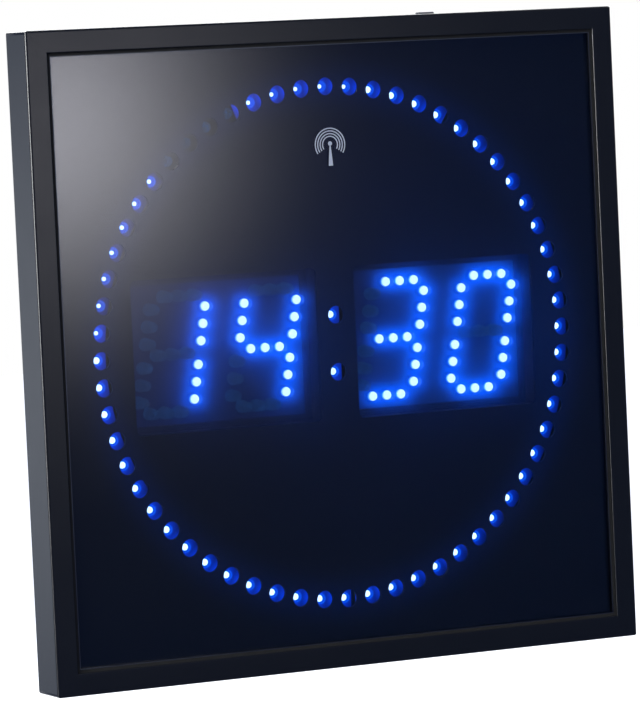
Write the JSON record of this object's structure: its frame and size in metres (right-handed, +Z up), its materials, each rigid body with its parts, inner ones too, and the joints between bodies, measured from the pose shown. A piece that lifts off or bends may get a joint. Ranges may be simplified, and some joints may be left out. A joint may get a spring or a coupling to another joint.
{
  "type": "radio-controlled wall clock",
  "caption": "square wall clock with a slim black mitred frame, a glossy dark front, slanted dot digits behind two windows and a ring of seconds lights, set by keys on its back",
  "frame": {"origin": "middle of the clock's back, on the wall plane", "axes": "+Y into the wall, so the dial faces -Y; +Z up; +X to the right as seen from in front"},
  "size_m": [0.29, 0.022, 0.291],
  "materials": {
    "frame": "black anodised, satin",
    "pane": "clear acrylic with a smoky tint, polished",
    "mask": "matt black sheet",
    "lens": "clear blue-tinted acrylic",
    "board": "glass-fibre circuit board with solder mask",
    "component": "moulded black",
    "steel": "bright zinc",
    "cover": "fine-textured black",
    "button": "moulded dark grey",
    "foam": "closed-cell foam",
    "ferrite": "ground ferrite",
    "winding": "enamelled copper wire",
    "ribbon": "grey ribbon cable",
    "lead": "black insulation",
    "clip": "natural nylon",
    "die_cast": "raw die casting"
  },
  "bodies": {
    "case": {"frame_rail_top": "frame", "frame_rail_left": "frame", "frame_rail_bottom": "frame", "frame_rail_right": "frame", "corner_key_top_right": "die_cast", "corner_key_top_left": "die_cast", "corner_key_bottom_left": "die_cast", "corner_key_bottom_right": "die_cast", "foam_strip_top": "foam", "foam_strip_bottom": "foam", "foam_strip_left": "foam", "foam_strip_right": "foam", "front_pane": "pane", "mask_plate": "mask", "hour_window_lens": "lens", "minute_window_lens": "lens", "seconds_ring_board": "board", "hour_display_board": "board", "minute_display_board": "board", "colon_board": "board", "control_board": "board", "mcu_chip": "component", "quartz_crystal": "steel", "brightness_switch": "steel", "cell_holder": "component", "coin_cell": "steel", "power_board": "board", "dc_jack": "component", "receiver_board": "board", "ferrite_rod": "ferrite", "aerial_winding": "winding", "rod_clip_left": "clip", "rod_clip_right": "clip", "top_key_switch": "board", "hour_ribbon": "ribbon", "minute_ribbon": "ribbon", "colon_ribbon": "ribbon", "ring_ribbon": "ribbon", "power_lead": "lead", "receiver_lead": "lead", "top_key_lead": "lead", "back_cover": "cover", "cover_screw_bottom_left": "steel", "cover_screw_top_left": "steel", "cover_screw_bottom_right": "steel", "cover_screw_top_right": "steel", "keyhole_plate_left": "steel", "keyhole_plate_right": "steel"},
    "set_button": {"set_button_cap": "button", "set_switch_stem": "component"},
    "plus_button": {"plus_button_cap": "button", "plus_switch_stem": "component"},
    "minus_button": {"minus_button_cap": "button", "minus_switch_stem": "component"},
    "brightness_slider": {"brightness_knob": "clip"},
    "battery_door": {"battery_door": "cover"},
    "top_key": {"top_key_cap": "button", "top_key_stem": "component"}
  },
  "joints": [
    {"name": "set_press", "type": "slide", "parent": "case", "child": "set_button", "axis": [0, -1, 0], "range_m": [0, 0.0006], "stiffness_N_per_m": 300},
    {"name": "plus_press", "type": "slide", "parent": "case", "child": "plus_button", "axis": [0, -1, 0], "range_m": [0, 0.0006], "stiffness_N_per_m": 300},
    {"name": "minus_press", "type": "slide", "parent": "case", "child": "minus_button", "axis": [0, -1, 0], "range_m": [0, 0.0006], "stiffness_N_per_m": 300},
    {"name": "brightness_slide", "type": "slide", "parent": "case", "child": "brightness_slider", "axis": [1, 0, 0], "range_m": [-0.002, 0.002]},
    {"name": "battery_door_lift", "type": "slide", "parent": "case", "child": "battery_door", "axis": [0, 1, 0], "range_m": [0, 0.012]},
    {"name": "top_key_press", "type": "slide", "parent": "case", "child": "top_key", "axis": [0, 0, -1], "range_m": [0, 0.0006], "stiffness_N_per_m": 300}
  ]
}
